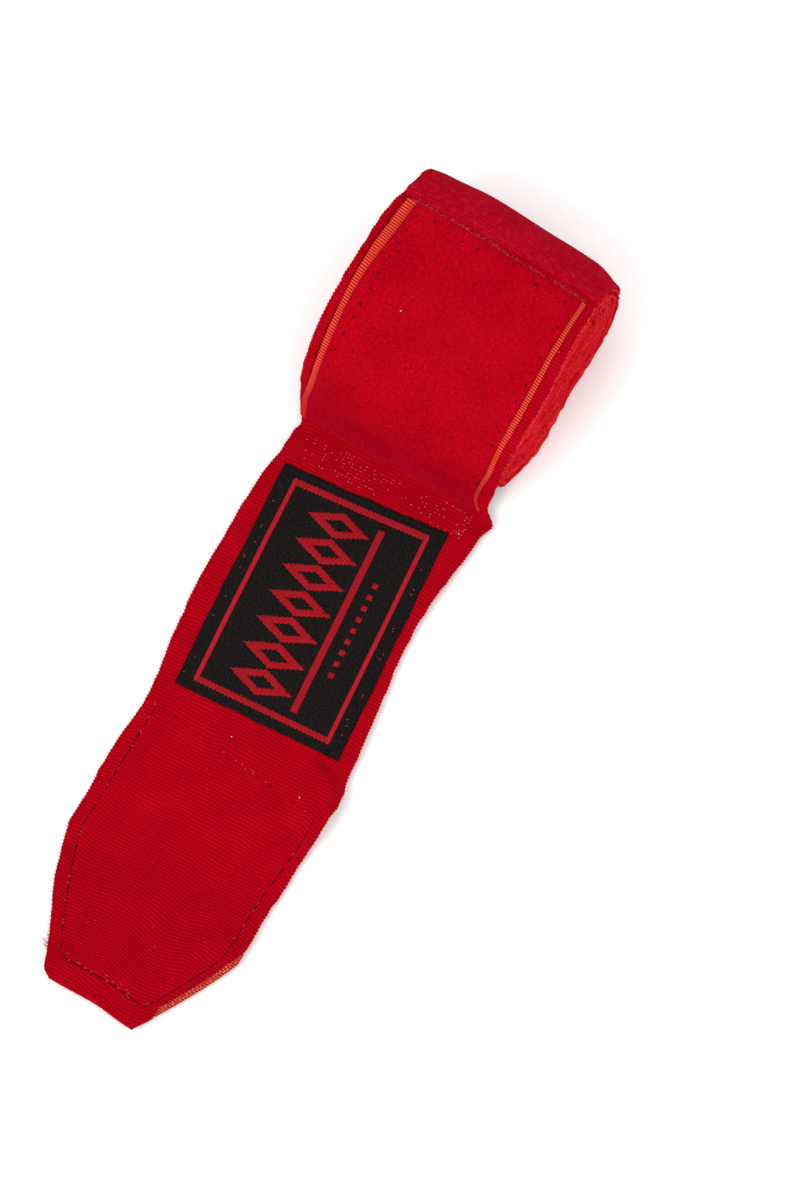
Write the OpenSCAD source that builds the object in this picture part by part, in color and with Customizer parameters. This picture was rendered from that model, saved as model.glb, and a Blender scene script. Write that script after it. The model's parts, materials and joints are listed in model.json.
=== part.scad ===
// Elastic hand wrap for boxing, partly unrolled on a table.
// The roll stands on its flat underside. Its outer lap comes over the top and leaves at the
// near end (-X), where the free tail lies flat. The tail ends in a tapered tab with hook tape,
// which closes on the loop patch on top of the roll.
// X runs along the strap, Y across it, Z up; the origin is the middle of the resting face.

/* [Band] */
// Width of the woven band
band_w = 50; // [44:1:54]
// Thickness of the band
band_t = 0.55; // [0.4:0.05:0.6]

/* [Roll] */
// Length of the wound roll along the strap
roll_l = 56; // [52:1:60]
// Height of the wound roll
roll_h = 30; // [28:1:34]
// Turns of band in the roll
turns = 20; // [10:1:20]
// Share of its height that the roll loses towards the near end
near_sink = 0.35; // [0:0.05:0.45]

/* [Tail] */
// Distance from the roll's middle to the crease where the tail begins
foot_x = 32; // [31:0.5:36]
// Length of the tail from the crease to its tip
tail_l = 145.5; // [140:0.5:160]
// Sideways drift of the tail between its label and its tab
tail_drift = 4.8; // [0:0.2:8]
// Height of the band above the table, on its hook tape
tail_z = 1.2; // [1:0.1:1.6]

/* [Fastener] */
// Width of the loop patch
patch_w = 45.5; // [40:0.5:48]
// Thickness of the loop patch
patch_t = 1; // [0.6:0.1:1.2]
// Length of the patch on the roll's flat top, from the roll's middle
patch_far_x = 15; // [10:0.5:16]
// Margin between the hook tape and the edges of the tab
hook_margin = 2.6; // [1.5:0.1:5]

/* [Label] */
// Width of the woven label
label_w = 40; // [30:1:42]
// Thickness of the woven label
label_t = 0.45; // [0.3:0.05:0.6]

/* [Thumb loop] */
// Width of the thumb loop's tape
thumb_w = 20; // [15:1:25]
// Length of the flattened thumb loop
thumb_l = 24; // [18:1:25]

/* [Hidden] */

band_red = "#a8101c";
patch_red = "#c00a1e";
hook_red = "#e0481f";
label_black = "#1c1c1c";
thread_dark = "#5a0a10";

// The roll's outline: a rounded rectangle, one pitch smaller with each turn inwards.
pitch = roll_h / 45;
half_l = roll_l / 2;
half_h = (roll_h + pitch) / 2;
corner_share = 0.8;
arc_steps = 4;
sink_x = -2;

// Distances along the tail, from the crease to each hinge and to its ends.
hinge_s = [55.2, 68.4, 81.6, 94.8, 118.3];
hinge_gap = 0.6;
foot_gap = 1;
label_start = 9.8;
label_finish = 68.2;
hook_finish = 141;
left_taper_s = 111;
right_taper_s = 121;
tip_left = 11.5;
tip_right = 12.5;

thumb_ply = 0.4;
core_z = half_h - pitch;

stitch_l = 2.4;
stitch_w = 0.45;
stitch_t = 0.15;
stitch_step = 3.8;
seam_inset = 1.3;

function clamp01(v) = min(1, max(0, v));
function smooth(v) = let (c = clamp01(v)) c * c * (3 - 2 * c);

// Lowers a point of the roll towards the table as it nears the near end.
function sunk(p) =
    [p[0], p[1] * (1 - near_sink * clamp01((sink_x - p[0]) / (sink_x + half_l)))];

// A point of the outline that lies the distance d inside the outermost lap, at an angle.
function ring_point(d, angle, side_x, side_z) =
    let (corner = corner_share * (half_h - d))
    sunk([side_x * (half_l - d - corner) + corner * cos(angle),
          side_z * (half_h - d - corner) + corner * sin(angle) + half_h - pitch]);

// One corner of the outline: 0 far bottom, 1 far top, 2 near top, 3 near bottom.
function corner_points(d_start, d_end, quarter, depth) =
    [for (i = [0:arc_steps])
        ring_point(d_start + (d_end - d_start) * i / arc_steps + depth,
                   270 + 90 * quarter + 90 * i / arc_steps,
                   quarter < 2 ? 1 : -1, quarter == 1 || quarter == 2 ? 1 : -1)];

// One turn, which grows by a pitch as it goes round the far end.
function turn_points(d, depth) =
    concat(corner_points(d, d - pitch / 2, 0, depth),
           corner_points(d - pitch / 2, d - pitch, 1, depth),
           [sunk([sink_x, 2 * half_h - pitch - (d - pitch) - depth])],
           corner_points(d - pitch, d - pitch, 2, depth),
           corner_points(d - pitch, d - pitch, 3, depth));

function last_half_turn(depth) =
    concat(corner_points(pitch, pitch / 2, 0, depth), corner_points(pitch / 2, 0, 1, depth));

function spiral_side(depth) =
    concat([for (k = [0:turns - 2]) each turn_points(pitch * (turns - k), depth)],
           last_half_turn(depth));

function reversed(list) = [for (i = [len(list) - 1:-1:0]) list[i]];

// The outer lap's path, from the far end over the top to just above the crease.
lap_end = [-foot_x + 1.2, 3.4];
function lap_start(depth) = half_l - depth - corner_share * (half_h - depth);
function lap_side(depth, start_x) =
    concat([[start_x, roll_h - depth], sunk([sink_x, roll_h - depth])],
           [for (i = [0:3]) corner_points(0, 0, 2, depth)[i]],
           [lap_end + [depth, depth * 0.3]]);

// A strip between two paths of the lap, spread over a width.
module lap_strip(width, upper, lower) {
    rotate([90, 0, 0])
        linear_extrude(width, center = true)
            polygon(concat(upper, reversed(lower)));
}

// The tail's outline in plan, at the distance s from the crease.
function tail_centre(s) = -0.8 - tail_drift * smooth((s - 30) / 50);
function taper(s, from, tip) = band_w / 2 - (band_w / 2 - tip) * clamp01((s - from) / (tail_l - from));
function left_y(s) = tail_centre(s) + taper(s, left_taper_s, tip_left);
function right_y(s) = tail_centre(s) - taper(s, right_taper_s, tip_right);
function label_centre(s) = 0.2 - 4.8 * (s - label_start) / (label_finish - label_start);
function stations(s0, s1) = let (n = ceil((s1 - s0) / 5)) [for (i = [0:n]) s0 + (s1 - s0) * i / n];

// A flat piece of the tail between two distances, inset from the band's edges.
module tail_plate(s0, s1, inset, z0, height) {
    translate([0, 0, z0])
        linear_extrude(height)
            polygon(concat([for (s = stations(s0, s1)) [-foot_x - s, left_y(s) - inset]],
                           [for (s = reversed(stations(s0, s1))) [-foot_x - s, right_y(s) + inset]]));
}

module label_plate(s0, s1) {
    translate([0, 0, tail_z + band_t])
        linear_extrude(label_t)
            polygon([[-foot_x - s0, label_centre(s0) + label_w / 2],
                     [-foot_x - s1, label_centre(s1) + label_w / 2],
                     [-foot_x - s1, label_centre(s1) - label_w / 2],
                     [-foot_x - s0, label_centre(s0) - label_w / 2]]);
}

// A row of stitches on a level surface, from one point in plan to another.
module stitch_row(from, to, z) {
    run = to - from;
    count = max(1, floor(norm(run) / stitch_step));
    for (i = [0:count - 1])
        translate([from[0] + run[0] * (i + 0.5) / count, from[1] + run[1] * (i + 0.5) / count, z])
            rotate([0, 0, atan2(run[1], run[0])])
                translate([-stitch_l / 2, -stitch_w / 2, 0])
                    cube([stitch_l, stitch_w, stitch_t]);
}

function left_seam(s) = [-foot_x - s, left_y(s) - hook_margin - seam_inset];
function right_seam(s) = [-foot_x - s, right_y(s) + hook_margin + seam_inset];

// Both long seams of the hook tape on one length of the tab.
module hook_seams(s0, s1) {
    line = stations(s0, s1);
    for (i = [0:len(line) - 2]) {
        stitch_row(left_seam(line[i]), left_seam(line[i + 1]), tail_z + band_t);
        stitch_row(right_seam(line[i]), right_seam(line[i + 1]), tail_z + band_t);
    }
}

// Both long seams of the label on one length of it.
module label_seams(s0, s1) {
    for (side = [-1, 1])
        stitch_row([-foot_x - s0, label_centre(s0) + side * (label_w / 2 - seam_inset)],
                   [-foot_x - s1, label_centre(s1) + side * (label_w / 2 - seam_inset)],
                   tail_z + band_t + label_t);
}

module label_cross_seam(s) {
    stitch_row([-foot_x - s, label_centre(s) - label_w / 2 + 3],
               [-foot_x - s, label_centre(s) + label_w / 2 - 3], tail_z + band_t + label_t);
}

module wound_band() {
    color(band_red)
        rotate([90, 0, 0])
            linear_extrude(band_w, center = true)
                polygon(concat(spiral_side(0), reversed(spiral_side(band_t))));
}

module outer_lap() {
    color(band_red)
        lap_strip(band_w, lap_side(0, lap_start(0)), lap_side(band_t, lap_start(band_t)));
}

// A flat outline in the roll's core, which sinks with the layers round it.
function core_outline(half_x, half_z) =
    [for (p = [[-half_x, -half_z], [sink_x, -half_z], [half_x, -half_z],
               [half_x, half_z], [sink_x, half_z], [-half_x, half_z]])
        sunk([p[0], core_z + p[1]])];

// A tape folded flat and sewn to the band's inner end, in the slit at the roll's core.
module thumb_loop() {
    color(band_red)
        rotate([90, 0, 0])
            linear_extrude(thumb_w, center = true)
                difference() {
                    polygon(core_outline(thumb_l / 2, 1.5 * thumb_ply));
                    polygon(core_outline(thumb_l / 2 - thumb_ply, 0.5 * thumb_ply));
                }
}

module thumb_loop_bartack() {
    core_floor = core_z - (half_h - turns * pitch - band_t);
    tack_top = core_z - 1.5 * thumb_ply;
    color(thread_dark)
        for (y = [-6, 0, 6])
            translate([4, y - 1.5, core_floor])
                cube([3, 3, tack_top - core_floor]);
}

module loop_patch() {
    color(patch_red)
        lap_strip(patch_w, lap_side(-patch_t, patch_far_x), lap_side(0, patch_far_x));
}

// The seam round the patch: along both selvages and across its far edge.
module loop_patch_stitching() {
    path = lap_side(-patch_t, patch_far_x);
    color(thread_dark) {
        for (side = [-1, 1])
            for (i = [0:len(path) - 2]) {
                run = path[i + 1] - path[i];
                count = floor(norm(run) / stitch_step);
                if (count > 0)
                    for (k = [0:count - 1])
                        translate([path[i][0] + run[0] * (k + 0.5) / count,
                                   side * (patch_w / 2 - 2.5),
                                   path[i][1] + run[1] * (k + 0.5) / count])
                            rotate([0, 180 - atan2(run[1], run[0]), 0])
                                translate([-stitch_l / 2, -stitch_w / 2, 0])
                                    cube([stitch_l, stitch_w, stitch_t]);
            }
        stitch_row([patch_far_x - 1.5, -patch_w / 2 + 4], [patch_far_x - 1.5, patch_w / 2 - 4],
                   roll_h + patch_t);
    }
}

module tail_band(number) {
    starts = concat([foot_gap], [for (s = hinge_s) s + hinge_gap / 2]);
    ends = concat([for (s = hinge_s) s - hinge_gap / 2], [tail_l]);
    color(band_red)
        tail_plate(starts[number - 1], ends[number - 1], 0, tail_z, band_t);
}

module label_main() {
    color(label_black)
        label_plate(label_start, hinge_s[0] - hinge_gap / 2);
}

module label_main_stitching() {
    color(thread_dark) {
        label_seams(label_start + 2, hinge_s[0] - 1);
        label_cross_seam(label_start + seam_inset);
    }
}

module label_end() {
    color(label_black)
        label_plate(hinge_s[0] + hinge_gap / 2, label_finish);
}

module label_end_stitching() {
    color(thread_dark) {
        label_seams(hinge_s[0] + 1, label_finish - 2);
        label_cross_seam(label_finish - seam_inset);
    }
}

module hook_tape(s0, s1) {
    color(hook_red)
        tail_plate(s0 + hinge_gap / 2, s1 - hinge_gap / 2, hook_margin, 0, tail_z);
}

module hook_stitching_4() {
    color(thread_dark) {
        hook_seams(hinge_s[2] + 1, hinge_s[3] - 0.5);
        stitch_row(left_seam(hinge_s[2] + 1) - [0, 2], right_seam(hinge_s[2] + 1) + [0, 2],
                   tail_z + band_t);
    }
}

module hook_stitching_5() {
    color(thread_dark)
        hook_seams(hinge_s[3] + 0.5, hinge_s[4] - 0.5);
}

module hook_stitching_6() {
    color(thread_dark) {
        hook_seams(hinge_s[4] + 0.5, hook_finish - 1.5);
        stitch_row(left_seam(hook_finish - 1.5) - [0, 1], right_seam(hook_finish - 1.5) + [0, 1],
                   tail_z + band_t);
    }
}

// The band's cut end, folded under past the end of the hook tape.
module tip_hem() {
    color(band_red)
        tail_plate(hook_finish + 0.2, tail_l, 0.4, tail_z - band_t, band_t);
}

wound_band();
outer_lap();
thumb_loop();
thumb_loop_bartack();
loop_patch();
loop_patch_stitching();
tail_band(1);  // tail_band_1
label_main();
label_main_stitching();
tail_band(2);  // tail_band_2
label_end();
label_end_stitching();
tail_band(3);  // tail_band_3
tail_band(4);  // tail_band_4
hook_tape(hinge_s[2], hinge_s[3]);  // hook_tape_4
hook_stitching_4();
tail_band(5);  // tail_band_5
hook_tape(hinge_s[3], hinge_s[4]);  // hook_tape_5
hook_stitching_5();
tail_band(6);  // tail_band_6
hook_tape(hinge_s[4], hook_finish);  // hook_tape_6
hook_stitching_6();
tip_hem();
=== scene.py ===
"""Looks of the partly unrolled hand wrap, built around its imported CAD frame.

Cloth coordinates: s runs along the band in mm, 0 at the crease and growing towards the tip;
q runs across it in mm from its middle, +Y side positive. Shapes are worked out in mm and
written to the meshes in metres. UVs hold s and q in centimetres, for the weave patterns.
"""
import json

import bpy
import numpy as np
from mathutils import Matrix, Vector


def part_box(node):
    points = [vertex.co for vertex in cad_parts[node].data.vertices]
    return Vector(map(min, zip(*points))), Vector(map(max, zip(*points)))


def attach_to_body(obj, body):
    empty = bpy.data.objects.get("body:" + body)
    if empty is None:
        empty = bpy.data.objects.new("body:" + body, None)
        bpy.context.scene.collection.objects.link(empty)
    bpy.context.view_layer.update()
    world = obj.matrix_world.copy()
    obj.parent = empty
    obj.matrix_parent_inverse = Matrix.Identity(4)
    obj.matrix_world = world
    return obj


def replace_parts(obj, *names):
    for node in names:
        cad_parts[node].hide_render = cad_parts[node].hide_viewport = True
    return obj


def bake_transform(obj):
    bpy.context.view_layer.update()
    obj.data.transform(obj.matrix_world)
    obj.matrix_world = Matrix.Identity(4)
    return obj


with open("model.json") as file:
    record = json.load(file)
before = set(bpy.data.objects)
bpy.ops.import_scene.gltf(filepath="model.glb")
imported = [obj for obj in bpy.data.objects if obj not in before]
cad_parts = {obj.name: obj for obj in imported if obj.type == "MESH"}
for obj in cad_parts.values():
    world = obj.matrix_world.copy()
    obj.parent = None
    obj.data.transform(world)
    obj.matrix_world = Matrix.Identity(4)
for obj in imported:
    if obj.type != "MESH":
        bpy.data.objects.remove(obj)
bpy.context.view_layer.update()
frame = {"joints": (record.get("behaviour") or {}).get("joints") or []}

MM = 0.001

# ---------------------------------------------------------------- sizes from the frame


def box_mm(node):
    """A CAD node's lowest and highest corner, in mm."""
    low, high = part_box(node)
    return np.array(low) / MM, np.array(high) / MM


joint_x = {joint["name"]: joint["pos_m"][0] / MM for joint in frame["joints"]}
roll_low, roll_high = box_mm("wound_band")
tail_low, tail_high = box_mm("tail_band_1")

BAND_W = roll_high[1] - roll_low[1]
BAND_T = tail_high[2] - tail_low[2]
ROLL_H = roll_high[2]
HALF_L = roll_high[0]
FOOT_X = joint_x["tail_swing"]
TAIL_Z = tail_low[2]
TAIL_L = FOOT_X - box_mm("tail_band_6")[0][0]
HINGES = [FOOT_X - joint_x[name] for name in
          ("tail_curl", "tail_curl_2", "tail_curl_3", "tail_curl_4", "tab_curl")]
LABEL_START = FOOT_X - box_mm("label_main")[1][0]
LABEL_END = FOOT_X - box_mm("label_end")[0][0]
LABEL_L = LABEL_END - LABEL_START

# ---------------------------------------------------------------- the wound shape

TURNS = 20
PITCH = ROLL_H / 45
HALF_H = (ROLL_H + PITCH) / 2
MIDDLE_Z = HALF_H - PITCH
CORNER_SHARE = 0.8
SINK_X = -2.0
SINK_MIDDLE = 0.36
SINK_SKEW = 0.1
ROLL_YAW = 0.04
COLUMNS_Q = np.linspace(-BAND_W / 2, BAND_W / 2, 11)


def smooth(v):
    c = np.clip(v, 0, 1)
    return c * c * (3 - 2 * c)


def bump(v, middle, width):
    return np.exp(-((v - middle) / width) ** 2)


def noise(x, y, seed):
    """Smooth value noise in -1..1 on a unit lattice."""
    table = np.random.RandomState(seed).uniform(-1, 1, (97, 89))
    x, y = np.broadcast_arrays(np.asarray(x, float), np.asarray(y, float))
    xi, yi = np.floor(x).astype(int), np.floor(y).astype(int)
    fx, fy = smooth(x - xi), smooth(y - yi)
    a, b = table[xi % 97, yi % 89], table[(xi + 1) % 97, yi % 89]
    c, d = table[xi % 97, (yi + 1) % 89], table[(xi + 1) % 97, (yi + 1) % 89]
    return (a * (1 - fx) + b * fx) * (1 - fy) + (c * (1 - fx) + d * fx) * fy


def near_sink(q):
    """How much the roll sinks towards its near end, more on its -Y side."""
    return SINK_MIDDLE - SINK_SKEW * np.asarray(q, float) / (BAND_W / 2)


def sunk(x, z, sink):
    """A point of the roll, lowered by a share that grows towards the near end."""
    fall = np.clip((SINK_X - x) / (SINK_X + HALF_L), 0, 1.05)
    return x, z * (1 - sink * fall)


def straight_half(d):
    """Half of the straight part of the outline, at an offset d from its outside."""
    return HALF_L - d - CORNER_SHARE * (HALF_H - d)


def arc(d0, d1, quarter, sink, steps=10):
    """One corner of the outline as it moves from offset d0 to d1."""
    k = np.linspace(0, 1, steps + 1)
    d = d0 + (d1 - d0) * k
    angle = np.radians(270 + 90 * quarter + 90 * k)
    corner = CORNER_SHARE * (HALF_H - d)
    side_x = 1 if quarter < 2 else -1
    side_z = 1 if quarter in (1, 2) else -1
    x = side_x * (HALF_L - d - corner) + corner * np.cos(angle)
    z = side_z * (HALF_H - d - corner) + corner * np.sin(angle) + MIDDLE_Z
    return sunk(x, z, sink)


def flat_run(x0, x1, z, sink, steps=9):
    """A straight part of the outline, without its two end points."""
    x = np.linspace(x0, x1, steps)[1:-1]
    return sunk(x, np.full_like(x, z), sink)


def spiral_path(q):
    """The wound band's middle surface at one q, from the core outwards, to the lap's start."""
    sink = near_sink(q)
    parts = []
    for k in range(TURNS):
        d = PITCH * (TURNS - k) + BAND_T / 2
        parts.append(arc(d, d - 0.5 * PITCH, 0, sink))
        parts.append(arc(d - 0.5 * PITCH, d - PITCH, 1, sink))
        if k == TURNS - 1:
            break
        d -= PITCH
        reach = straight_half(d)
        parts.append(flat_run(reach, -reach, 2 * HALF_H - PITCH - d, sink))
        parts.append(arc(d, d, 2, sink))
        parts.append(arc(d, d, 3, sink))
        parts.append(flat_run(-reach, reach, d - PITCH, sink))
    return np.concatenate([np.array(part).T for part in parts])


def lap_path(q):
    """The outer lap and the tail at one q: over the top, down the near end, out on the table."""
    sink = near_sink(q)
    mid = BAND_T / 2
    reach = straight_half(mid)
    foot = np.array([FOOT_X + 0.4, TAIL_Z + BAND_T])
    top = np.array(flat_run(reach + 0.01, -reach, ROLL_H - mid, sink, 24)).T
    corner = np.array(arc(mid, mid, 2, sink, 60)).T + [-0.35, 0.15]
    slope = np.arctan2(corner[:, 1] - foot[1], corner[:, 0] - foot[0])
    corner = corner[:int(np.argmax(slope)) + 1]
    run = foot - corner[-1]
    out = np.array([run[1], -run[0]]) / np.hypot(*run)
    bulge = 0.75 + 0.55 * q / (BAND_W / 2)
    k = np.linspace(0, 1, 14)[1:-1, None]
    ramp = corner[-1] + k * run - out * bulge * np.sin(np.pi * k) ** 0.9
    tail_x = FOOT_X - np.linspace(0.5, TAIL_L + 4, 150)
    tail = np.array([tail_x, np.full_like(tail_x, TAIL_Z + mid)]).T
    points = np.concatenate([[[reach, ROLL_H - mid]], top, corner, ramp, [foot], tail])
    return soften(resampled(points, 0.35), 7)


def lengths(path):
    """The length along a path at each of its points."""
    return np.concatenate([[0], np.cumsum(np.hypot(*np.diff(path, axis=0).T))])


def along_path(at, run, path):
    """The path's two coordinates at given lengths along it."""
    return [np.interp(at, run, path[:, i]) for i in (0, 1)]


def resampled(path, step):
    run = lengths(path)
    at = np.linspace(0, run[-1], int(run[-1] / step) + 1)
    return np.array(along_path(at, run, path)).T


def soften(path, width):
    """Rounds a path's kinks with a short moving average, ends kept."""
    out = path.copy()
    kernel = np.ones(2 * width + 1) / (2 * width + 1)
    for _ in range(3):
        pad = np.concatenate([np.repeat(out[:1], width, 0), out, np.repeat(out[-1:], width, 0)])
        out = np.array([np.convolve(pad[:, i], kernel, "valid") for i in (0, 1)]).T
        out[0], out[-1] = path[0], path[-1]
    return out


class Strip:
    """A middle surface x(s, q), z(s, q) made of one path per q column."""

    def __init__(self, maker, zero_x=None):
        paths = [maker(q) for q in COLUMNS_Q]
        runs = [lengths(p) for p in paths]
        if zero_x is None:
            marks = [r[-1] for r in runs]
        else:
            marks = [np.interp(-zero_x, -p[len(p) // 4:, 0], r[len(p) // 4:])
                     for p, r in zip(paths, runs)]
        self.low = -min(marks)
        high = min(r[-1] - m for r, m in zip(runs, marks))
        self.s = np.linspace(self.low, high, int((high - self.low) / 0.3) + 2)
        grid = []
        for p, r, m in zip(paths, runs, marks):
            scale = np.where(self.s < 0, m / -self.low, 1.0)
            grid.append(along_path(self.s * scale + m, r, p))
        self.grid = np.array(grid)

    def at(self, s, q):
        """x and z for arrays s and q, linear along s and across the columns."""
        s, q = np.broadcast_arrays(np.asarray(s, float), np.asarray(q, float))
        fs = np.clip((s - self.s[0]) / (self.s[1] - self.s[0]), 0, len(self.s) - 1.001)
        fq = np.clip((q - COLUMNS_Q[0]) / (COLUMNS_Q[1] - COLUMNS_Q[0]), -0.6,
                     len(COLUMNS_Q) - 0.4)
        i = fs.astype(int)
        j = np.clip(np.floor(fq).astype(int), 0, len(COLUMNS_Q) - 2)
        a, b = fs - i, fq - j
        g = self.grid
        return tuple((g[j, c, i] * (1 - a) + g[j, c, i + 1] * a) * (1 - b)
                     + (g[j + 1, c, i] * (1 - a) + g[j + 1, c, i + 1] * a) * b for c in (0, 1))


# ---------------------------------------------------------------- the tail in plan

TAIL_DRIFT = 4.8
LEFT_TAPER, RIGHT_TAPER = 111.0, 121.0
TIP_LEFT, TIP_RIGHT = 11.5, 12.5
SEAM_START = 79.8
SEAM_SLANT = 0.136
SEAM_END = 139.9
# Where each edge of the tail runs out (+) or in (-): place along s, reach along s, how far.
LEFT_WAVES = ((9, 4, -0.6), (19, 5, 0.4), (34, 5, -0.3), (52, 6, 0.5), (80, 8, -0.7),
              (107, 8, -0.5), (133, 6, -0.6))
RIGHT_WAVES = ((18, 6, -0.4), (78.5, 5, 1.2), (87, 5, 0.4))


def centre_y(s):
    near = -2.0 * smooth((s + 0.5) / 4) + 1.1 * smooth((s - 14) / 20)
    return near - TAIL_DRIFT * smooth((s - 30) / 50)


def edge_base(s, side):
    """The band's straight or tapered edge at s, on the +Y side or the -Y side."""
    start, tip = (LEFT_TAPER, TIP_LEFT) if side > 0 else (RIGHT_TAPER, TIP_RIGHT)
    k = np.clip((s - start) / (TAIL_L - start), 0, 1)
    return side * (BAND_W / 2 - (BAND_W / 2 - tip) * k ** 1.1)


def seam_left(s):
    return edge_base(s, 1) - 3.6


def seam_right(s):
    return edge_base(s, -1) + 1.9 + 1.5 * smooth((s - 85) / 25)


def seam_start(q):
    """Where the tongue-shaped seam crosses the band."""
    return SEAM_START - SEAM_SLANT * q


def lap_swell(s):
    """How far the lap and its patch swell out on the +Y side, where the lap turns down."""
    return 1.2 * bump(s, -34, 11)


def edge_waves(s, waves):
    return sum(amount * bump(s, middle, reach) for middle, reach, amount in waves)


def edge_q(s, side):
    """The cloth's edge at s: a little wavy, rounded at the tip, cut back where the tape shows."""
    wave = 0.3 * noise(s / 9.0, side * 3.7 + 5, 11) + 0.14 * noise(s / 2.2, side * 2.1 + 9, 12)
    q = edge_base(s, side) + side * (wave * smooth((TAIL_L - s) / 4) - 0.8 * bump(s, 30, 18))
    if side > 0:
        turn = np.clip((s - TAIL_L + 1.8) / 1.8, 0, 1)
        corner = 1.8 * (1 - np.sqrt(1 - 0.98 * turn ** 2))
        return (q + 0.7 * bump(s, -26, 14) + 0.7 * bump(s, -10, 5) + lap_swell(s)
                - 1.9 * bump(s, 0.9, 3.4) + edge_waves(s, LEFT_WAVES) - corner)
    q = q - edge_waves(s, RIGHT_WAVES)
    cut = smooth((s - 117.5) / 4.5) * smooth((141.3 - s) / 3.5)
    return q - 1.3 * bump(s, 2.3, 2.4) + (seam_right(s) - 1.9 - q) * cut


# ---------------------------------------------------------------- the cloth's surface

RIB = 0.86
RIB_DEPTH = 0.085
FOLD_S = 70.2

lap = Strip(lap_path, zero_x=FOOT_X)
spiral = Strip(spiral_path)


def rib_phase(s, q):
    """The rib number at a point: ribs run across the band and wander a little."""
    wander = 0.6 * noise(s / 21.0, q / 13.0, 3) + 0.28 * noise(s / 5.0, q / 3.5, 4)
    tip = smooth((s - 96) / 42)
    pucker = tip * (1.9 * np.abs(np.sin(q / 8.0 + 0.9)) + 0.8 * noise(s / 9, q / 5, 5))
    margin = np.clip(np.abs(q) - 21.0, 0, 4) * np.where(s > 80, 0.28, 0.1)
    return (s + wander + pucker - margin) / RIB


def rib_profile(phase):
    """Height of the ribs at full strength, above or below the cloth's own face."""
    return RIB_DEPTH * (2 * np.abs(np.sin(np.pi * phase)) ** 0.8 - 1.2)


def rib_strength(s, q):
    """Ribs stand out on the tab, and are pressed flatter beside the label's far end."""
    flat = smooth((s - 67) / 3) * smooth((seam_start(q) - s) / 2)
    low = smooth((s - 98) / 20)
    return (0.75 + 0.6 * low - 0.35 * flat) * (1 + 0.25 * noise(s / 6, q / 9, 6))


def drape(s, q):
    """Height that the tail's cloth gains over its flat bed, in mm."""
    on_tail = smooth((s - 3) / 8)
    wave = 0.35 * (1 + noise(s / 17.0, q / 15.0, 21)) + 0.12 * noise(s / 6.0, q / 7.0, 22)
    edge = smooth((np.abs(q) - 17) / 8)
    lift = 0.7 * edge * (0.5 + 0.5 * noise(s / 12.0, np.sign(q) * 4, 23))
    past = s - FOLD_S + 0.25 * (q + 18)
    rise = 2.4 + 0.5 * np.clip(-q - 18, 0, None)
    fold = 3.0 * smooth(past / rise) * smooth((rise + 15 - past) / 14) * smooth((-q - 14) / 8)
    tip = 0.5 * smooth((s - 128) / 14) * (0.5 + 0.5 * noise(s / 5.0, q / 6.0, 24))
    return on_tail * (wave + lift + fold + tip)


def seam_distance(s, q):
    """Distance in mm to the tongue-shaped seam that holds the hook tape."""
    start = seam_start(q)
    inside = smooth((s - start + 0.5) / 1.0) * smooth((SEAM_END - s + 0.5) / 1.0)
    sides = np.minimum(np.abs(q - seam_left(s)), np.abs(q - seam_right(s))) + 9 * (1 - inside)
    within = (q < seam_left(s) + 0.3) & (q > seam_right(s) - 0.3)
    ends = np.minimum(np.abs(s - start), np.abs(s - SEAM_END))
    return np.minimum(sides, np.where(within, ends, 9.0))


def seam_dip(s, q):
    """The groove that the seam pulls into the tab, and the one beside the patch's left edge."""
    beside = 1.0 * bump(q, 23.6, 0.5) * smooth((-12 - s) / 14)
    depth = np.where(s > seam_start(q) + 1.5, 0.22, 0.1)
    return -depth * bump(seam_distance(s, q), 0, 0.42) - beside


def place(x, s, q, z):
    """A point of the cloth in the row frame, in mm. The roll is a little askew and barrelled."""
    far = smooth((x - 8) / 16)
    skew = (0.035 * q + 0.8 * bump(q, 9, 12) - 2.5 * smooth((-q - 15) / 11) ** 2
            - 0.7 * smooth((q - 20) / 6) ** 2)
    rim = smooth((np.abs(q) - 20) / 5)
    barrel = np.where(q > 0, 2.1 * bump(x, 7, 14), 1.4 * bump(x, -11, 14))
    y = q + centre_y(s) - ROLL_YAW * np.clip(x - FOOT_X, 0, None) + np.sign(q) * rim * barrel
    return np.stack(np.broadcast_arrays(x + far * skew, y, z), -1)


def bed(s, q):
    """The lap's and tail's middle surface without ribs, its tip drawn back on the +Y side."""
    s = s - 1.3 * smooth((q + 13) / 12) * smooth((s - 126) / 19)
    x, z = lap.at(s, q)
    return place(x, s, q, z + drape(s, q))


def unit(vectors):
    return vectors / np.maximum(np.linalg.norm(vectors, axis=-1, keepdims=True), 1e-9)


def with_normal(surface, s, q, eps=0.12):
    """Points of a surface and its unit normals, from differences over eps mm."""
    ds = surface(s + eps, q) - surface(s - eps, q)
    dq = surface(s, q + eps) - surface(s, q - eps)
    return surface(s, q), unit(np.cross(dq, ds))


def lifted(surface, s, q, height):
    """Points at a height above a surface, along its normal."""
    p, n = with_normal(surface, s, q)
    return p + n * np.asarray(height)[..., None]


# ---------------------------------------------------------------- mesh building

STITCH_SINK = 0.12
THREAD_END = 0.03
FIBRE_LOWEST = 0.05


def cloth_uv(u, v):
    """UVs in cm from two cloth coordinates in mm."""
    return np.stack(np.broadcast_arrays(u, v), -1) / 10


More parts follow.
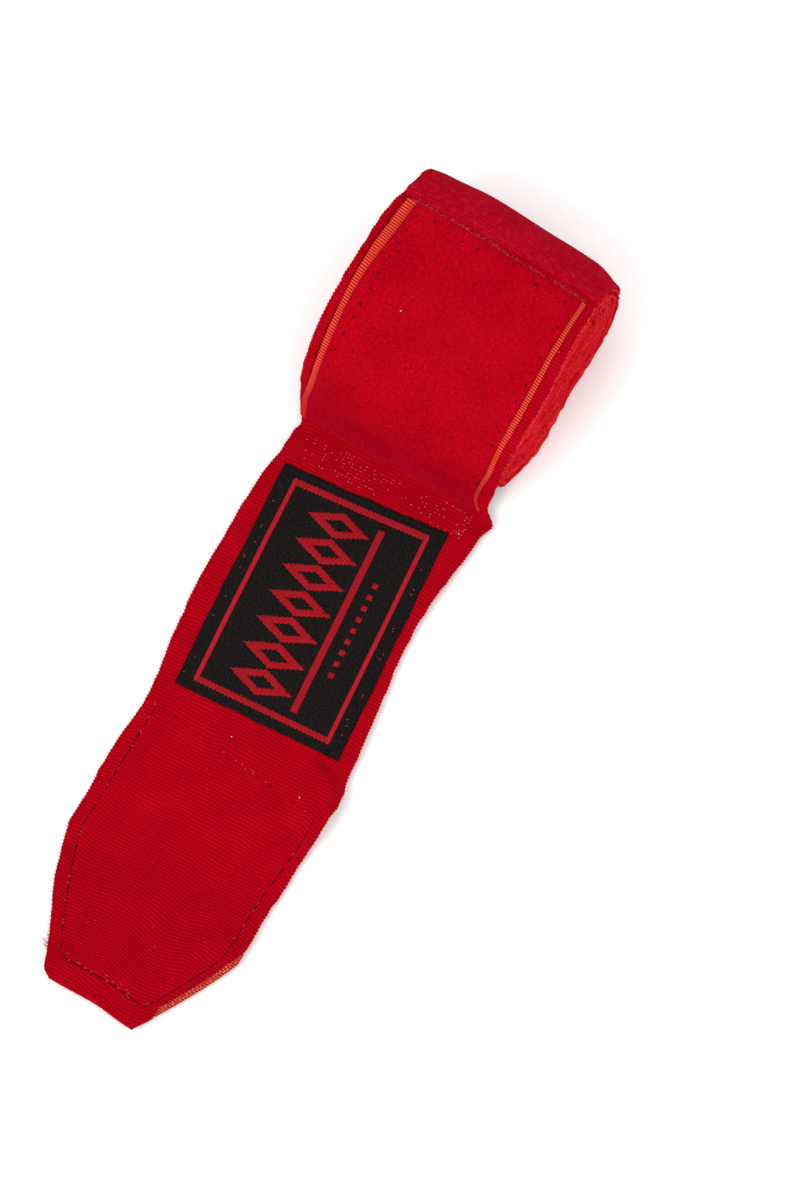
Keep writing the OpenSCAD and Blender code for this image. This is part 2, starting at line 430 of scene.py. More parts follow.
def new_mesh(name, points, quads, uvs, material):
    """Makes one object from points in mm, quads and UVs in cm.

    Cloth that would dip below the table lies flat on it.
    """
    mesh = bpy.data.meshes.new(name)
    points = np.asarray(points, float).reshape(-1, 3) * MM
    points[:, 2] = np.maximum(points[:, 2], 0.0)
    quads = np.asarray(quads, np.int32)
    mesh.vertices.add(len(points))
    mesh.vertices.foreach_set("co", points.astype(np.float32).ravel())
    mesh.loops.add(quads.size)
    mesh.loops.foreach_set("vertex_index", quads.ravel())
    mesh.polygons.add(len(quads))
    mesh.polygons.foreach_set("loop_start", np.arange(len(quads), dtype=np.int32) * 4)
    mesh.polygons.foreach_set("loop_total", np.full(len(quads), 4, np.int32))
    mesh.polygons.foreach_set("use_smooth", np.full(len(quads), True))
    layer = mesh.uv_layers.new(name="cloth")
    layer.data.foreach_set("uv", np.asarray(uvs, np.float32).reshape(-1, 2)[quads.ravel()].ravel())
    mesh.materials.append(material)
    mesh.validate()
    mesh.update()
    piece = bpy.data.objects.new(name, mesh)
    bpy.context.scene.collection.objects.link(piece)
    return piece


def tube_quads(rows, ring):
    """Quads of a tube of rings, with both ends closed across the ring's two halves."""
    i, j = np.meshgrid(np.arange(rows - 1), np.arange(ring), indexing="ij")
    a = i * ring + j
    b = i * ring + (j + 1) % ring
    side = np.stack([a, b, b + ring, a + ring], -1).reshape(-1, 4)
    k = np.arange(ring // 2 - 1)
    cap = np.stack([k, ring - 1 - k, ring - 2 - k, k + 1], -1)
    end = cap[:, ::-1] + (rows - 1) * ring
    return np.concatenate([side, cap, end])


def ring_columns(columns):
    """Fractions across the band and heights of a closed ring: top row, edge, bottom row, edge."""
    edge_gain = 1.25
    t = np.linspace(-1, 1, columns)
    rise = 1 + (edge_gain - 1) * smooth((np.abs(t) - 0.93) / 0.05)
    top = np.stack([t * 0.994, 0.5 * BAND_T * rise], -1)
    edge = np.array([[0.9985, 0.36 * BAND_T * edge_gain], [1.0, 0.0]])
    right = np.concatenate([edge, edge[:1] * [1, -1]])
    ring = np.concatenate([top, right, top[::-1] * [1, -1], right[::-1] * [-1, 1]])
    return ring[:, 0], ring[:, 1]


def ringed(name, surface, s, q, height, u, material):
    """A closed piece whose rows of (s, q) are rings, at given heights above a surface."""
    return new_mesh(name, lifted(surface, s, q, height), tube_quads(*q.shape), cloth_uv(u, q),
                    material)


def band_piece(name, s0, s1, columns):
    """A length of ribbed band as a closed slab that follows the cloth's surface."""
    rows = int(round((s1 - s0) / 0.15)) + 1
    s = np.linspace(s0, s1, rows)[:, None]
    across, height = ring_columns(columns)
    left, right = edge_q(s, 1), edge_q(s, -1)
    q = (left + right) / 2 + (left - right) / 2 * across
    s = np.broadcast_to(s, q.shape)
    ribs = rib_profile(rib_phase(s, q)) * rib_strength(s, q)
    lift = np.where(height >= 0, 1, -1) * ribs * 0.9 + seam_dip(s, q)
    serration = 0.1 * np.sin(2 * np.pi * rib_phase(s, q)) * (np.abs(across) > 0.99)
    q = q + serration * np.sign(across)
    return ringed(name, bed, s, q, height + lift, rib_phase(s, q) * RIB, BAND)


def slab_grid(s, q, top, low, u=None, v=None):
    """Points, quads and UVs of a closed sheet over s and q, between two heights on the cloth."""
    s, q, top, low = np.broadcast_arrays(s, q, top, low)
    p, n = with_normal(bed, s, q)
    ring = np.concatenate([p + n * top[..., None], (p + n * low[..., None])[:, ::-1]], 1)
    uv = cloth_uv(s if u is None else u, q if v is None else v)
    return ring, tube_quads(*ring.shape[:2]), np.concatenate([uv, uv[:, ::-1]], 1)


def slab(name, material, *grid):
    """One closed sheet. grid is what slab_grid takes."""
    return new_mesh(name, *slab_grid(*grid), material)


def tubes(name, points, side, up, radius, material, sides=6):
    """Many short threads at once: points, side and up are (count, rings, 3), in mm."""
    count, rings = points.shape[:2]
    angle = np.arange(sides) * 2 * np.pi / sides
    radius = np.broadcast_to(radius, (count, rings))[..., None, None]
    ring = (points[:, :, None] + radius
            * (np.cos(angle)[:, None] * side[:, :, None] + np.sin(angle)[:, None] * up[:, :, None]))
    starts = np.arange(count) * rings * sides
    quads = (tube_quads(rings, sides)[None] + starts[:, None, None]).reshape(-1, 4)
    steps = np.linalg.norm(np.diff(points, axis=1), axis=2)
    run = np.concatenate([np.zeros((count, 1)), np.cumsum(steps, 1)], 1)
    u = np.broadcast_to(run[:, :, None], ring.shape[:3]) + np.arange(count)[:, None, None] * 1.7
    return new_mesh(name, ring, quads, cloth_uv(u, angle * 0.6), material)


def tube_frame(points, across):
    """The side and up directions of tubes whose sides lie square to a direction across them."""
    along = np.gradient(points, axis=1)
    side = unit(np.cross(across, along))
    return side, unit(np.cross(along, side))


def stitches(name, spots, gauge, base, material):
    """Sewn threads on the cloth. spots are (s, q, angle from the s direction)."""
    length, width, height = gauge
    s, q, angle = np.array(spots, float).T[:, :, None]
    t = np.array([-1, -0.86, -0.5, 0, 0.5, 0.86, 1])
    s = s + t * length / 2 * np.cos(angle)
    q = q + t * length / 2 * np.sin(angle)
    p, n = with_normal(bed, s, q)
    profile = np.sqrt(np.clip(1 - t ** 2, 0, 1))
    lift = base - STITCH_SINK + (STITCH_SINK + height * 0.5) * profile
    centre = p + n * lift[:, None]
    radius = THREAD_END + (width / 2 - THREAD_END) * profile ** 0.7
    return tubes(name, centre, tube_frame(centre, n)[0], n * height / width, radius, material)


def fibres(name, roots, directions, length, radius, material, seed, curl=0.5):
    """Loose fibre ends that stand off a surface."""
    rng = np.random.RandomState(seed)
    count = len(roots)
    bend = rng.normal(0, curl, (count, 3))
    reach = length * rng.uniform(0.4, 1.0, (count, 1, 1))
    t = np.linspace(0, 1, 5)
    p = roots[:, None] + reach * (unit(directions)[:, None] * t[:, None]
                                  + bend[:, None] * t[:, None] ** 2)
    p[..., 2] = np.maximum(p[..., 2], FIBRE_LOWEST)
    side, up = tube_frame(p, [-0.31, -0.47, -0.83])
    return tubes(name, p, side, up, radius * (1 - 0.6 * t), material, sides=4)


# ---------------------------------------------------------------- materials

SELVAGE_RIB = 0.63


class Value:
    """A number in a node tree, so that a material's formulas read as arithmetic."""

    def __init__(self, nodes, socket):
        self.nodes = nodes
        self.socket = socket

    def __add__(self, other):
        return self.nodes.math("ADD", self, other)

    def __mul__(self, other):
        return self.nodes.math("MULTIPLY", self, other)

    def __sub__(self, other):
        return self.nodes.math("SUBTRACT", self, other)

    def __rsub__(self, other):
        return self.nodes.math("SUBTRACT", other, self)

    __radd__, __rmul__ = __add__, __mul__


class Nodes:
    """A short way to write a node material. u and v are the cloth's UVs in cm."""

    def __init__(self, name):
        self.material = bpy.data.materials.new(name)
        self.material.use_nodes = True
        self.tree = self.material.node_tree
        self.tree.nodes.clear()
        self.shader = self.add("BsdfPrincipled")
        self.feed(self.add("OutputMaterial").inputs[0], self.shader.outputs[0])
        uv = self.add("UVMap")
        uv.uv_map = "cloth"
        parts = self.add("SeparateXYZ")
        self.feed(parts.inputs[0], uv.outputs[0])
        self.u, self.v = Value(self, parts.outputs[0]), Value(self, parts.outputs[1])

    def add(self, kind):
        return self.tree.nodes.new("ShaderNode" + kind)

    def feed(self, socket, source):
        """Sets a socket to a number or a colour, or links it to a value or another socket."""
        if isinstance(source, (int, float)):
            socket.default_value = source
        elif isinstance(source, tuple):
            socket.default_value = (*source, 1)
        else:
            self.tree.links.new(source.socket if isinstance(source, Value) else source, socket)

    def math(self, operation, *sources):
        node = self.add("Math")
        node.operation = operation
        for source, socket in zip(sources, node.inputs):
            self.feed(socket, source)
        return Value(self, node.outputs[0])

    def clamped(self, value):
        return self.math("MINIMUM", self.math("MAXIMUM", value, 0.0), 1.0)

    def noise(self, scale, detail=3.0, stretch=(1, 1), rough=0.55):
        combine = self.add("CombineXYZ")
        self.feed(combine.inputs[0], self.u * stretch[0])
        self.feed(combine.inputs[1], self.v * stretch[1])
        node = self.add("TexNoise")
        for key, source in (("Scale", scale), ("Detail", detail), ("Roughness", rough),
                            ("Vector", combine.outputs[0])):
            self.feed(node.inputs[key], source)
        return Value(self, node.outputs[0])

    def wave(self, coordinate, period):
        """A sine of 0..1 along a coordinate, with a period in cm."""
        return self.math("SINE", coordinate * (2 * np.pi / period)) * 0.5 + 0.5

    def ramp(self, factor, *stops):
        node = self.add("ValToRGB")
        self.feed(node.inputs[0], factor)
        elements = node.color_ramp.elements
        while len(elements) < len(stops):
            elements.new(0.5)
        for element, (at, colour) in zip(elements, stops):
            element.position = at
            element.color = (*colour, 1)
        return node.outputs[0]

    def mix(self, factor, a, b):
        node = self.add("Mix")
        node.data_type = "RGBA"
        for i, source in ((0, factor), (6, a), (7, b)):
            self.feed(node.inputs[i], source)
        return node.outputs[2]

    def finish(self, colour, height, depth_mm, rough=0.85, sheen=0.06,
               tint=(1.0, 0.10, 0.12), specular=0.02):
        relief = self.add("Bump")
        surface = self.shader.inputs
        for socket, source in (
                (relief.inputs["Distance"], depth_mm * MM), (relief.inputs["Strength"], 1.0),
                (relief.inputs["Height"], height), (surface["Normal"], relief.outputs[0]),
                (surface["Base Color"], colour), (surface["Roughness"], rough),
                (surface["Sheen Weight"], sheen), (surface["Sheen Roughness"], 0.4),
                (surface["Sheen Tint"], tint), (surface["Specular IOR Level"], specular)):
            self.feed(socket, source)
        return self.material


def band_material(name, deep, mid, light, valley_shade_gain=0.85, depth=0.14, sheen=0.04, mottle=0.0):
    """Ribbed elastic weave. u follows the modelled ribs, so rib hollows and yarns sit on them.
    Painted shade darkens the rib hollows and a thin line beside the patch's left selvage, and pale
    flecks are painted glints.
    """
    n = Nodes(name)
    jitter = 0.03 * n.noise(13, 2.0) + 0.03 * n.noise(5, 1)
    phase = n.math("DIVIDE", n.u + jitter, RIB / 10)
    rib = n.math("ABSOLUTE", n.math("SINE", phase * np.pi))
    yarn = n.wave(n.v + 0.031 * n.math("FLOOR", phase), 0.058)
    fine = n.wave(n.v + 0.7 * n.u, 0.021)
    grain = n.noise(30, 4.0)
    tone = 0.5 * grain + 0.25 * n.noise(1.3, 2.0) + 0.25 * yarn
    colour = n.ramp(tone, (0.25, deep), (0.5, mid), (0.75, light))
    # Painted shade in the hollows between the ribs, stronger on the tail and its tip.
    on_tail = n.clamped(1.3 * n.u + 0.9)
    on_tip = n.clamped(0.4 * n.u - 3.9)
    share = 0.22 * on_tip + 0.2 * on_tail + 0.55
    valley_shade = n.math("POWER", 1.0 - rib, 1.7) * share * valley_shade_gain
    colour = n.mix(valley_shade, colour, (deep[0] * 0.3, 0.0, 0.002))
    # Painted shadow: a thin dark line on the lap just outside the patch's left selvage, where the
    # thick selvage would cast shade.
    step = n.clamped(1.2 - 28.0 * n.math("ABSOLUTE", n.v - 2.345))
    on_lap = n.clamped(-1.0 * n.u - 0.2)
    colour = n.mix(step * on_lap * 0.8, colour, (deep[0] * 0.2, 0.0, 0.002))
    if mottle:
        worn = n.clamped(6.0 * n.noise(9, 6.0, (1.0, 0.6), 0.7) - 2.9)
        colour = n.mix(worn * mottle, colour, (0.58, 0.020, 0.034))
    # Painted highlights: pale pink flecks at random over the weave, for small glints off the yarn.
    glint_flecks = n.math("GREATER_THAN", n.noise(19, 1.0, (1.4, 0.8), 0.3), 0.80)
    colour = n.mix(0.3 * glint_flecks, colour, (0.8, 0.15, 0.15))
    body = n.math("POWER", rib, 0.6) * (0.45 * yarn + 0.75)
    height = 0.6 * body + 0.12 * fine + 0.3 * grain
    return n.finish(colour, height, depth, sheen=sheen, specular=0.01)


def pile_material():
    """Brushed loop pile, mottled at several scales, with painted shade darkening it towards the
    crease.
    """
    n = Nodes("loop_pile")
    fine, clump, broad = n.noise(32, 5.0), n.noise(13, 3.0), n.noise(0.9, 1.0)
    colour = n.ramp(0.5 * fine + 0.35 * clump + 0.15 * broad,
                    (0.35, (0.19, 0.0, 0.003)), (0.46, (0.345, 0.0, 0.0065)),
                    (0.55, (0.42, 0.0, 0.008)), (0.67, (0.56, 0.004, 0.018)))
    # Painted shade: the pile darkens to a purplish red towards the crease, where the lap meets the
    # tail.
    crease_shade = n.clamped(1.7 * (n.u + 0.7 * n.noise(2.6, 3.0) - 0.35) + 1.15)
    colour = n.mix(0.5 * crease_shade, colour, (0.24, 0.0, 0.013))
    return n.finish(colour, 0.6 * fine + 0.4 * clump, 0.45, rough=0.95, sheen=0.045)


def selvage_material(name, gain=1.0, fades=False):
    """Orange-red ribbed tape, as on the loop patch's selvages and the hook tape's back."""
    n = Nodes(name)
    tone = 0.6 * n.wave(n.u, SELVAGE_RIB / 10) + 0.4 * n.noise(34, 3.0)
    deep = 0.36 if fades else 0.24
    colour = n.ramp(tone, (0.2, (deep * gain, 0.001, 0.004)), (0.5, (0.55 * gain, 0.018, 0.011)),
                    (0.8, (0.74 * gain, 0.11 * gain, 0.045 * gain)))
    if fades:
        inner = n.clamped(25.0 - 11.0 * (n.math("ABSOLUTE", n.v) + 0.06 * n.noise(20, 3.0)))
        colour = n.mix(0.8 * inner, colour, (0.45, 0.004, 0.010))
        near = n.clamped(1.1 * (n.u + 0.9 * n.noise(9, 3.0)) + 0.75)
        colour = n.mix(0.85 * near, colour, (0.43, 0.006, 0.014))
    return n.finish(colour, tone, 0.16, rough=0.6, specular=0.06)


def label_material():
    """Black satin with a fine diagonal twill, and a lighter speckle that is painted satin
    highlight.
    """
    n = Nodes("label_satin")
    # The twill comes from the two waves; the noise's lighter speckle is painted highlight on the
    # satin.
    tone = (0.15 * n.wave(n.u + n.v, 0.03) + 0.1 * n.wave(n.v - 0.15 * n.u, 0.022)
            + 0.75 * n.noise(32, 2.0))
    colour = n.ramp(tone, (0.38, (0.0012, 0.0009, 0.0009)), (0.5, (0.0044, 0.0032, 0.0032)),
                    (0.62, (0.020, 0.0155, 0.0148)))
    return n.finish(colour, tone, 0.05, rough=0.6, sheen=0.01, tint=(0.8, 0.8, 0.8),
                    specular=0.03)


def motif_material(name, period=0.055, slant=1.0, dark=0.8):
    """Red weft in fine slanted stitches, with dark ground showing in specks between them."""
    n = Nodes(name)
    stitch = n.wave(n.u + slant * n.v, period)
    cross = n.wave(n.v - 0.8 * n.u, period * 1.1)
    specks = n.clamped(2.8 * stitch * cross + 0.05)
    colour = n.ramp(n.noise(40, 2.0), (0.3, (0.34, 0.003, 0.010)), (0.5, (0.47, 0.008, 0.016)),
                    (0.7, (0.58, 0.02, 0.03)))
    colour = n.mix(dark * (1.0 - specks), colour, (0.06, 0.0, 0.002))
    return n.finish(colour, specks, 0.1, rough=0.55, specular=0.05)


def thread_material(name, dark, light):
    n = Nodes(name)
    twist = n.wave(n.u + 0.8 * n.v, 0.03)
    return n.finish(n.ramp(twist, (0.0, dark), (1.0, light)), twist, 0.05, rough=0.6, sheen=0.02,
                    specular=0.05)


def edge_material():
    """The fluffy, paler edges of the wound layers."""
    n = Nodes("layer_edge")
    grain = n.noise(16, 5.0)
    colour = n.ramp(0.6 * grain + 0.4 * n.noise(1.6, 2.0, (1, 0.2)), (0.3, (0.26, 0.0, 0.005)),
                    (0.5, (0.60, 0.007, 0.016)), (0.7, (0.74, 0.045, 0.05)))
    return n.finish(colour, grain, 0.3, rough=0.95, sheen=0.05)


def fuzz_material(name, dark, light):
    n = Nodes(name)
    tone = n.noise(2.0, 2.0)
    return n.finish(n.ramp(tone, (0.35, dark), (0.65, light)), tone, 0.01, rough=0.9, sheen=0.1)

BAND = band_material("band_weave", (0.23, 0.0, 0.004), (0.37, 0.0, 0.0065),
                     (0.49, 0.003, 0.012))
KNIT = band_material("band_knit", (0.21, 0.0, 0.006), (0.36, 0.0, 0.011),
                     (0.48, 0.004, 0.020), valley_shade_gain=0.41, depth=0.1, sheen=0.03, mottle=0.22)
EDGE = edge_material()
TAPE_FACE = selvage_material("hook_tape_face", 0.75)
PILE = pile_material()
SELVAGE = selvage_material("loop_selvage", 0.95, fades=True)
TAPE_BACK = selvage_material("orange_tape")
LABEL = label_material()
TWILL = motif_material("woven_red")
SATIN = motif_material("woven_red_satin", 0.04, 0.25, 0.3)
THREAD = thread_material("thread_dark", (0.045, 0.0, 0.002), (0.14, 0.0, 0.004))
THREAD_LIGHT = thread_material("thread_light", (0.45, 0.004, 0.012), (0.72, 0.10, 0.08))
THREAD_BLACK = thread_material("thread_black", (0.003, 0.003, 0.003), (0.02, 0.018, 0.018))
HOOKS = thread_material("hook_nylon", (0.62, 0.035, 0.018), (0.85, 0.16, 0.07))
FUZZ = fuzz_material("fuzz_red", (0.50, 0.004, 0.014), (0.70, 0.035, 0.04))
FUZZ_PALE = fuzz_material("fuzz_pale", (0.60, 0.05, 0.035), (0.85, 0.22, 0.14))
# Pale pink for the painted glint dots on the ribs.
PAINTED_GLINT = fuzz_material("painted_glint_pink", (0.55, 0.04, 0.05), (0.78, 0.24, 0.23))
FUZZ_ROSE = fuzz_material("fuzz_rose", (0.45, 0.012, 0.022), (0.66, 0.11, 0.11))
LINT = fuzz_material("lint_white", (0.85, 0.75, 0.72), (0.95, 0.90, 0.88))

TOP = BAND_T / 2 + 0.03

# ---------------------------------------------------------------- the band's sections; section 0 goes on the roll's body

CUTS = [(a + b) / 2 for a, b in zip(HINGES[:-1], HINGES[1:])]
LIMITS = [-9.0, 30.0] + CUTS
BODIES = ["roll", "tail_1", "tail_2", "tail_3", "tail_4", "tail_5", "tail_6"]
BLEND_REACH = 6.6
BEYOND = 500.0


def at_s(s):
    return ((FOOT_X - s) * MM, 0, 0)


def attach(piece, section):
    """Section 0 is the lap, 1 the foot of the tail, and 2 to 6 the bends at the hinges."""
    if section == 0:
        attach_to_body(piece, "roll")
    elif section == 1:
        at_s(-1.2)
        at_s(2.5)
        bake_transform(piece)
    else:
        hinge = HINGES[section - 2]
        high = LIMITS[section] if section < 6 else TAIL_L
        reach = min(hinge - LIMITS[section - 1], high - hinge, BLEND_REACH)
        BODIES[section - 1]
        at_s(hinge - reach)
        at_s(hinge + reach)
        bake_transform(piece)
    return piece


def sections(low, high):
    """The sections that a run of the band passes through, each with its own s range."""
    bounds = [-BEYOND] + LIMITS + [BEYOND]
    for i in range(7):
        a, b = max(low, bounds[i]), min(high, bounds[i + 1])
        if b - a > 0.05:
            yield i, a, b


# Length, width and height of each kind of stitch, knot, speck or painted glint dot, in mm.
GAUGES = {
    "loop_patch_stitch": (0.95, 0.42, 0.1),
    "label_stitch": (2.2, 0.4, 0.2),
    "label_fleck": (0.5, 0.22, 0.1),
    "hook_tape_dot": (0.46, 0.3, 0.14),
    "hook_seam_start": (1.5, 0.2, 0.1),
    "hook_stitch": (3.3, 0.24, 0.1),
    "hook_seam_knot": (0.7, 0.26, 0.12),
    "band_glint": (0.36, 0.14, 0.08),
    "lint": (0.36, 0.18, 0.14),
    "lint_tail": (0.32, 0.17, 0.14),
}


def sew(name, spots, base, material):
    """Stitches at a base height above the cloth, split by the section they lie in."""
    made = []
    for i, a, b in sections(-BEYOND, BEYOND):
        here = [spot for spot in spots if a <= spot[0] < b]
        if here:
            piece = stitches("%s_%d" % (name, i), here, GAUGES[name], base, material)
            made.append(attach(piece, i))
    return made


# ---------------------------------------------------------------- the roll

OUTER_L = 150.0
TURN_L = 128.0


def sagged(x, z, q):
    """Heights in the roll with the core's slot closed up towards the side faces."""
    scale = sunk(x, 1.0, near_sink(q))[1]
    t = z / scale - MIDDLE_Z
    close = (1.45 + 0.45 * smooth((13 - np.abs(x)) / 5)) * smooth((np.abs(q) - 11) / 8)
    t = t - np.sign(t) * close * smooth(np.abs(t) / 2.4) * bump(t, 0, 9)
    return (MIDDLE_Z + t) * scale


def spiral_bed(s, q):
    x, z = spiral.at(s, q)
    return place(x, -1.0, q, sagged(x, z, q))


def wound_core():
    """Inner turns of the roll: a slab whose rounded edges carry the layered look."""
    s0, s1 = spiral.s[0], -OUTER_L
    rows = int((s1 - s0) / 0.8) + 1
    s = np.linspace(s0, s1, rows)[:, None]
    half = BAND_W / 2
    edge = [(4, 1), (1.6, 1), (0.45, 1.12), (0.08, 0.7), (0, 0)]
    right = np.array([(half - inset, share * BAND_T / 2) for inset, share in edge])
    right = np.concatenate([right, right[-2::-1] * [1, -1]])
    q, h = np.concatenate([right, -right]).T
    side = np.sign(q)
    shift = (0.8 * noise(s / 60.0, side * 5 + 2, 31) + 0.3 * noise(s / 11.0, side * 7, 32)
             + 0.2 * noise(s / 1.3, side * 3, 33))
    hollow = -1.3 * smooth((0.62 * TURNS - (s - s0) / TURN_L) / (0.6 * TURNS))
    q = q + side * (shift + hollow) * (np.abs(q) > half - 1.7)
    h = h * (1 + 0.2 * noise(s / 1.5, side * 9, 34))
    return ringed("wound_core", spiral_bed, s, q, h, s, EDGE)


def wound_outer_turn():
    """The roll's outermost turn, ribbed like the rest of the band but worn smoother."""
    rows = int(round((spiral.s[-1] + OUTER_L) / 0.2)) + 1
    s = np.linspace(-OUTER_L, spiral.s[-1], rows)[:, None]
    across, height = ring_columns(60)
    wave = 0.35 * noise(s / 14.0, 3.0, 41) + 0.14 * noise(s / 2.0, 4.0, 42)
    q = (BAND_W / 2 + wave) * across
    phase = (s + 0.25 * noise(s / 9.0, q / 12.0, 43)) / RIB
    lift = 0.5 * rib_profile(phase) * np.where(height >= 0, 1, -0.3)
    return ringed("wound_outer_turn", spiral_bed, s, q, height + lift, (phase + 500) * RIB, KNIT)


core = attach(wound_core(), 0)
outer = attach(wound_outer_turn(), 0)
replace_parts(core, "wound_band")


def core_loop():
    """The thumb loop: a tape folded flat in the roll's core, closed by a bar tack."""
    low, high = box_mm("thumb_loop")
    half_l, half_ply = (high[0] - low[0]) / 2, 0.18
    t = np.linspace(0, 2 * np.pi, 81)[:-1, None]
    side = np.linspace(-9.9, 9.9, 24)[None, :]
    across, up = np.cos(t), np.sin(t)
    x = np.clip(1.25 * half_l * across, 0.6 - half_l, half_l - 0.6) + 0.45 * across
    z = 0.40 * np.sign(up) * np.abs(up) ** 0.35
    skins = []
    for grow in (half_ply, -half_ply):
        skin_z = z + grow * np.sign(up) * np.abs(up) ** 0.3 + 0 * side
        skin_x, skin_z = sunk(x + grow * across + 0 * side, MIDDLE_Z + skin_z, near_sink(side))
        skins.append(place(skin_x, -1.0, side, skin_z))
    ring = np.concatenate([skins[0], skins[1][:, ::-1]], 1)
    rows, size = ring.shape[:2]
    quads = tube_quads(rows, size)[:-2 * (size // 2 - 1)]
    j = np.arange(size)
    k = (j + 1) % size
    last = np.stack([(rows - 1) * size + j, (rows - 1) * size + k, k, j], -1)
    uv = cloth_uv(8 * t, np.concatenate([side, side[:, ::-1]], 1))
    return new_mesh("thumb_loop_tape", ring, np.concatenate([quads, last])[:, ::-1], uv,
                    TAPE_BACK)


def core_tack():
    """The bar tack that closes the thumb loop onto the band's inner end."""
    low, high = box_mm("thumb_loop_bartack")
    t = np.linspace(0, 1, 5)
    x = low[0] + 0.2 + (high[0] - low[0] - 0.4) * t
    y = np.linspace(-7.2, 7.2, 25)[:, None]
    z = high[2] - 0.13 + 0.05 * np.sin(np.pi * t)
    p = np.stack(np.broadcast_arrays(x, y, z), -1)
    side = np.broadcast_to([0.0, -1.0, 0.0], p.shape)
    up = np.broadcast_to([0.0, 0.0, 1.0], p.shape)
    return tubes("thumb_loop_tack", p, side, up, 0.12, THREAD)


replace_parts(attach(core_loop(), 0), "thumb_loop")
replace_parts(attach(core_tack(), 0), "thumb_loop_bartack")

# ---------------------------------------------------------------- the lap and the tail

BAND_PIECES = ("band_lap", "band_foot", "band_label_part", "band_bend_2", "band_bend_3",
               "band_bend_4", "band_tab")

for i, a, b in sections(lap.low, TAIL_L):
    piece = attach(band_piece(BAND_PIECES[i], a, b, 110 if i == 0 else 76), i)
    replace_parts(piece, "tail_band_%d" % i if i else "outer_lap")
    s = np.linspace(a, b, 20)
    width = float(np.mean(edge_base(s, 1) - edge_base(s, -1)))
    (b - a) * MM
    "folded" if i < 2 else "laid"

# ---------------------------------------------------------------- the loop patch

PILE_LEFT, PILE_RIGHT = 21.6, -21.9
PATCH_HALF = 23.0
PATCH_END = 1.3


def patch_start(q):
    """The patch's far cut edge, a little askew."""
    return lap.low + 1.1 - 0.035 * q + 0.12 * noise(q / 1.1, 3.0, 51)


def patch_grid(q, step, start_gain=0.0, end=PATCH_END):
    """Rows along the patch. Its sides draw outwards and inwards near the crease."""
    t = np.linspace(0, 1, int((end - lap.low) / step))[:, None]
    start = patch_start(q) + start_gain
    s = start + (end + 0.35 * noise(q / 2.5, 8.0, 58) - start) * t
    left = 0.9 * smooth((s + 14) / 12) - 0.7 * smooth((s + 4) / 4) + lap_swell(s)
    right = 0.9 * smooth((s + 12) / 9) - 1.1 * smooth((s + 2) / 3)
    return s, q + left * smooth((q - 8) / 13) + right * smooth((-q - 8) / 13)


def loop_pile():
    """The patch's brushed face, with rounded rims and worn thin at the crease."""
    across = np.linspace(PILE_RIGHT, PILE_LEFT, 136)
    s, q = patch_grid(across, 0.32)
    rough = (0.10 * noise(s / 0.45, q / 0.45, 52) + 0.07 * noise(s / 1.3, q / 1.3, 53)
             + 0.09 * noise(s / 6.0, q / 6.0, 54))
    side = np.minimum(across - PILE_RIGHT, PILE_LEFT - across) / 0.9
    rim = np.minimum(side, (s - s[:1]) / 1.0)
    worn = 1 - 0.97 * smooth((s - PATCH_END + 6) / 6)
    top = TOP + 0.03 + 0.27 * worn
    top = top + worn * (0.52 * np.sqrt(np.clip(rim, 0, 1)) + rough * smooth(rim + 0.3))
    return slab("loop_pile", PILE, s, q, top, TOP - 0.02)


def loop_selvage(name, low, high):
    """A ribbed woven edge of the patch between two q limits."""
    across = np.linspace(low, high, 7)
    s, q = patch_grid(across, 0.12, 0.1, PATCH_END - 0.2)
    f = np.linspace(0, 1, 7)
    run = s + 0.2 * noise(s / 2.8, 7.0, 57) + 0.3 * f
    worn = 1 - smooth((s + 9) / 8)
    rib = 0.07 * worn * np.sin(2 * np.pi * run / SELVAGE_RIB) * np.sin(np.pi * f) ** 0.4
    crown = 0.16 * np.sin(np.pi * f) ** 0.7
    wave = 0.10 * noise(s / 5.0, 2.0, 55) + 0.05 * noise(s / 1.2, 4.0, 56)
    out = f if low > 0 else 1 - f
    thin = 0.2 * smooth((s - PATCH_END + 4) / 4)
    return slab(name, SELVAGE, s, q + np.sign(low) * wave * out, TOP + 0.28 - thin + rib + crown,
                TOP - 0.02, run, across)


pile = attach(loop_pile(), 1)
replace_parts(pile, "loop_patch")
for name, a, b in (("loop_selvage_left", PILE_LEFT + 0.05, PATCH_HALF + 0.2),
                   ("loop_selvage_right", -PATCH_HALF, PILE_RIGHT - 0.05)):
    attach(loop_selvage(name, a, b), 1)
(PATCH_END - lap.low) * MM

rng = np.random.RandomState(61)
patch_spots = [(s + rng.normal(0, 0.15), q + rng.normal(0, 0.1), rng.normal(0, 0.1))
               for q in (PILE_LEFT - 1.3, PILE_RIGHT + 0.9)
               for s in np.arange(lap.low + 3.2, PATCH_END - 7, 3.75)]
patch_spots += [(patch_start(np.array([q]))[0] + 2.6 + rng.normal(0, 0.15), q, np.pi / 2)
                for q in np.arange(-19, 20, 3.9)]
for piece in sew("loop_patch_stitch", patch_spots, TOP + 0.78, THREAD):
    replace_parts(piece, "loop_patch_stitching")

# ---------------------------------------------------------------- the label

LABEL_W = 40.0
LABEL_T = 0.45
LABEL_SHIFT = 1.42
LABEL_SKEW = 0.0875
LABEL_FAN = 0.036
LABEL_SEAM = 1.5
LABEL_TOP = TOP + LABEL_T
CUT_A = CUTS[0] - LABEL_START - LABEL_SHIFT


